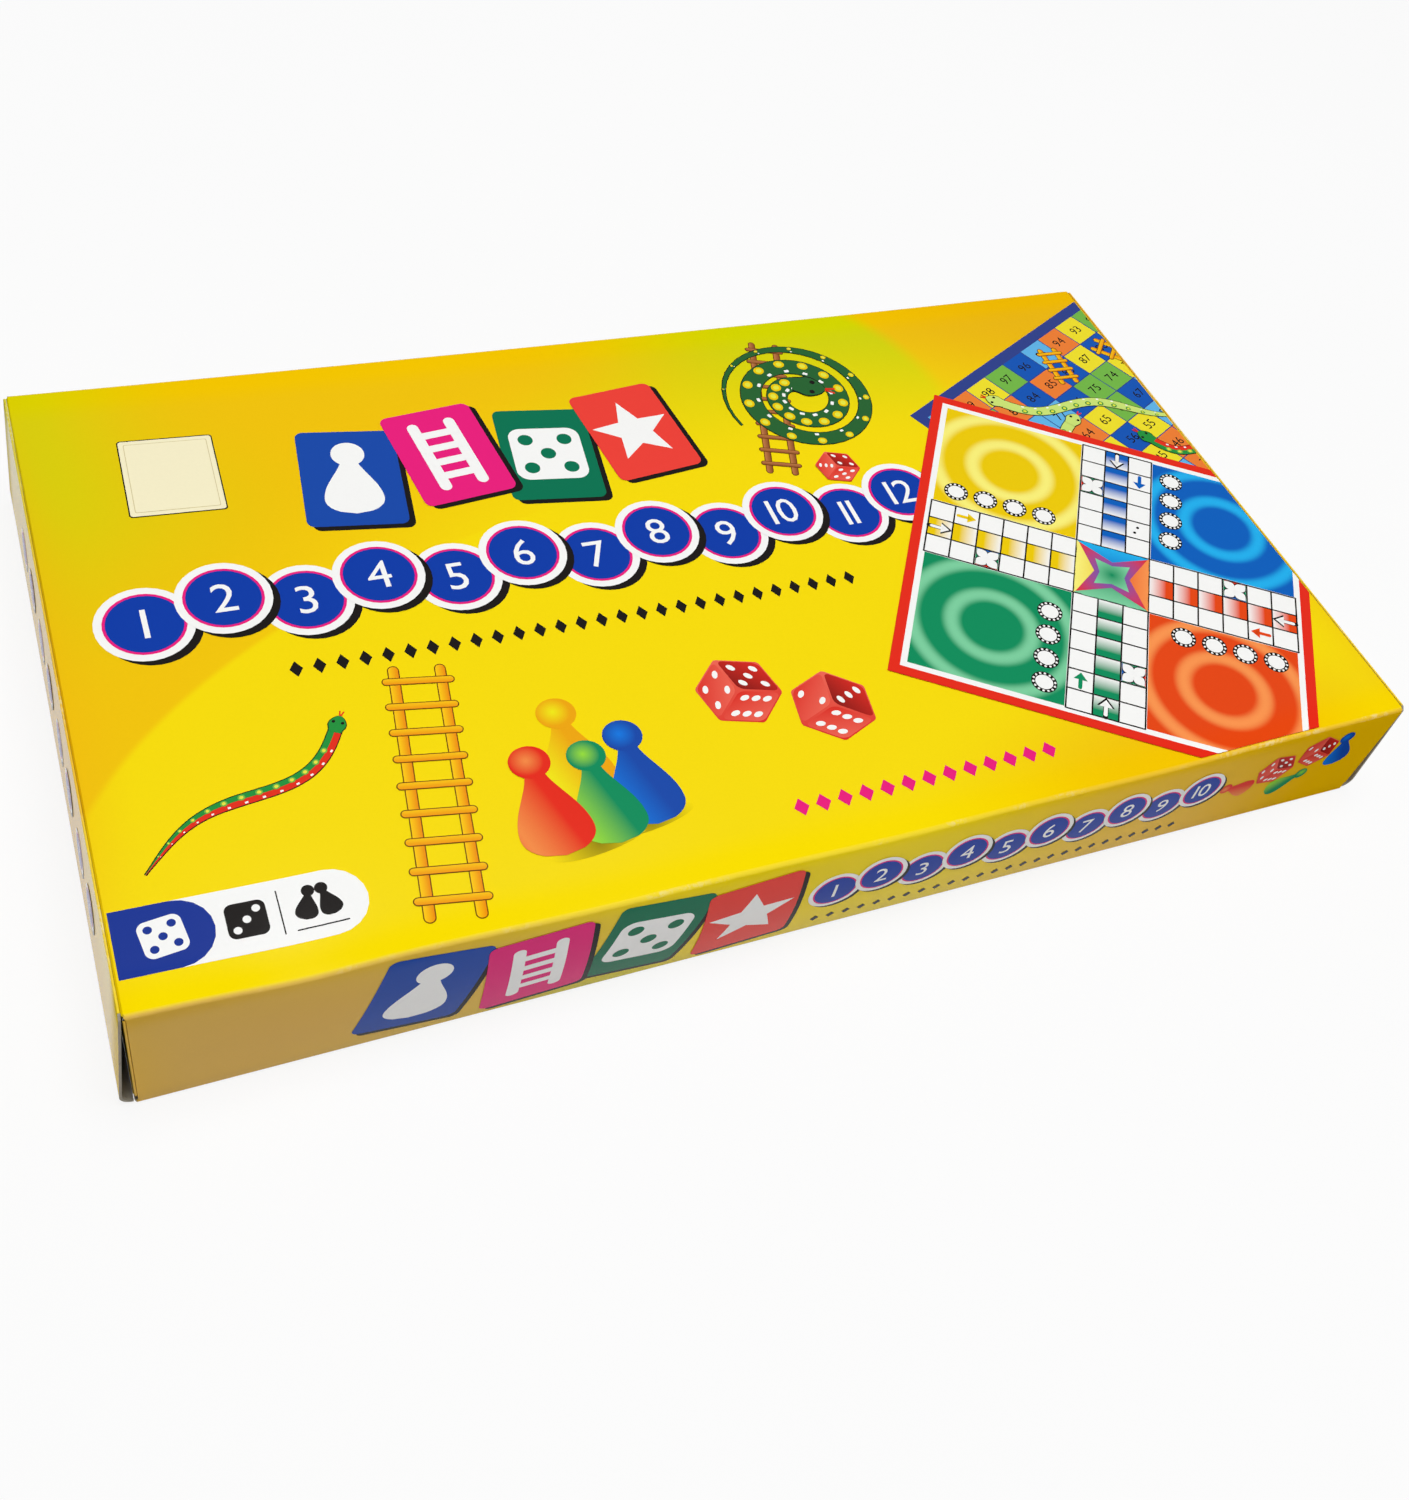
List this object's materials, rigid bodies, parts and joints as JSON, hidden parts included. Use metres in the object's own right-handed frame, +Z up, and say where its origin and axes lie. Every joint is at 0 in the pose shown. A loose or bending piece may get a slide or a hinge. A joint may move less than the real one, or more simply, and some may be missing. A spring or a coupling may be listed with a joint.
{
  "type": "boxed snakes and ladders set",
  "caption": "Flat tuck-end paperboard carton in glossy yellow print that holds a folding snakes and ladders and ludo board, coloured pawns and dice.",
  "frame": {"origin": "centre of the carton's box on the face it rests on", "axes": "+X along the carton's length towards the end that the board is drawn out of, +Y from the front panel to the back panel, +Z up"},
  "size_m": [0.365, 0.2, 0.04],
  "materials": {
    "carton_print": "gloss",
    "carton_inside": "matte",
    "board_face": "satin",
    "board_film": "satin",
    "pawn_red": "gloss",
    "pawn_green": "gloss",
    "pawn_yellow": "gloss",
    "pawn_blue": "gloss",
    "die_red": "gloss"
  },
  "bodies": {
    "carton": {"top_panel": "carton_print", "bottom_panel": "carton_print", "front_panel": "carton_print", "back_panel": "carton_print", "glue_flap": "carton_inside"},
    "left_closure": {"left_closure_panel": "carton_print"},
    "left_tuck": {"left_tuck_flap": "carton_print"},
    "left_front_dust": {"left_front_dust_flap": "carton_print"},
    "left_back_dust": {"left_back_dust_flap": "carton_print"},
    "right_closure": {"right_closure_panel": "carton_print"},
    "right_tuck": {"right_tuck_flap": "carton_print"},
    "right_front_dust": {"right_front_dust_flap": "carton_print"},
    "right_back_dust": {"right_back_dust_flap": "carton_print"},
    "board": {"board_lower_leaf": "board_face", "board_hinge_film": "board_film"},
    "upper_leaf": {"board_upper_leaf": "board_face"},
    "red_pawns": {"red_pawn_1": "pawn_red", "red_pawn_2": "pawn_red", "red_pawn_3": "pawn_red", "red_pawn_4": "pawn_red"},
    "green_pawns": {"green_pawn_1": "pawn_green", "green_pawn_2": "pawn_green", "green_pawn_3": "pawn_green", "green_pawn_4": "pawn_green"},
    "yellow_pawns": {"yellow_pawn_1": "pawn_yellow", "yellow_pawn_2": "pawn_yellow", "yellow_pawn_3": "pawn_yellow", "yellow_pawn_4": "pawn_yellow"},
    "blue_pawns": {"blue_pawn_1": "pawn_blue", "blue_pawn_2": "pawn_blue", "blue_pawn_3": "pawn_blue", "blue_pawn_4": "pawn_blue"},
    "dice": {"die_1": "die_red", "die_2": "die_red"}
  },
  "joints": [
    {"name": "board_pull", "type": "slide", "parent": "carton", "child": "board", "axis": [1, 0, 0], "range_m": [0, 0.35]},
    {"name": "board_fold", "type": "hinge", "parent": "board", "child": "upper_leaf", "pos_m": [-0.02052, -0.0725, 0.0026], "axis": [1, 0, 0], "range_deg": [0, 13]},
    {"name": "left_closure_swing", "type": "hinge", "parent": "carton", "child": "left_closure", "pos_m": [-0.1797, 0, 0.0397], "axis": [0, 1, 0], "range_deg": [0, 215]},
    {"name": "left_tuck_crease", "type": "hinge", "parent": "left_closure", "child": "left_tuck", "pos_m": [-0.17918, 0, 0.00115], "axis": [0, 1, 0], "range_deg": [0, 32.3]},
    {"name": "left_front_dust_crease", "type": "hinge", "parent": "carton", "child": "left_front_dust", "pos_m": [-0.1789, -0.0997, 0.02], "axis": [0, 0, 1], "range_deg": [0, 129]},
    {"name": "left_back_dust_crease", "type": "hinge", "parent": "carton", "child": "left_back_dust", "pos_m": [-0.1789, 0.0997, 0.02], "axis": [0, 0, -1], "range_deg": [0, 129]},
    {"name": "right_closure_swing", "type": "hinge", "parent": "carton", "child": "right_closure", "pos_m": [0.1797, 0, 0.0397], "axis": [0, -1, 0], "range_deg": [0, 215]},
    {"name": "right_tuck_crease", "type": "hinge", "parent": "right_closure", "child": "right_tuck", "pos_m": [0.17918, 0, 0.00115], "axis": [0, -1, 0], "range_deg": [0, 32.3]},
    {"name": "right_front_dust_crease", "type": "hinge", "parent": "carton", "child": "right_front_dust", "pos_m": [0.1789, -0.0997, 0.02], "axis": [0, 0, -1], "range_deg": [0, 129]},
    {"name": "right_back_dust_crease", "type": "hinge", "parent": "carton", "child": "right_back_dust", "pos_m": [0.1789, 0.0997, 0.02], "axis": [0, 0, 1], "range_deg": [0, 129]},
    {"name": "red_pawns_ride", "type": "slide", "parent": "carton", "child": "red_pawns", "axis": [1, 0, 0], "range_m": [0, 0.35]},
    {"name": "green_pawns_ride", "type": "slide", "parent": "carton", "child": "green_pawns", "axis": [1, 0, 0], "range_m": [0, 0.35]},
    {"name": "yellow_pawns_ride", "type": "slide", "parent": "carton", "child": "yellow_pawns", "axis": [1, 0, 0], "range_m": [0, 0.35]},
    {"name": "blue_pawns_ride", "type": "slide", "parent": "carton", "child": "blue_pawns", "axis": [1, 0, 0], "range_m": [0, 0.35]},
    {"name": "dice_ride", "type": "slide", "parent": "carton", "child": "dice", "axis": [1, 0, 0], "range_m": [0, 0.35]}
  ],
  "couplings": [
    {"joint": "left_tuck_crease", "follows": "left_closure_swing", "ratio": 0.15},
    {"joint": "left_front_dust_crease", "follows": "left_closure_swing", "ratio": 0.6},
    {"joint": "left_back_dust_crease", "follows": "left_closure_swing", "ratio": 0.6},
    {"joint": "right_closure_swing", "follows": "board_pull", "rad_per_m": 10.721},
    {"joint": "right_tuck_crease", "follows": "board_pull", "rad_per_m": 1.6082},
    {"joint": "right_front_dust_crease", "follows": "board_pull", "rad_per_m": 6.4328},
    {"joint": "right_back_dust_crease", "follows": "board_pull", "rad_per_m": 6.4328},
    {"joint": "red_pawns_ride", "follows": "board_pull", "ratio": 1},
    {"joint": "green_pawns_ride", "follows": "board_pull", "ratio": 1},
    {"joint": "yellow_pawns_ride", "follows": "board_pull", "ratio": 1},
    {"joint": "blue_pawns_ride", "follows": "board_pull", "ratio": 1},
    {"joint": "dice_ride", "follows": "board_pull", "ratio": 1}
  ]
}
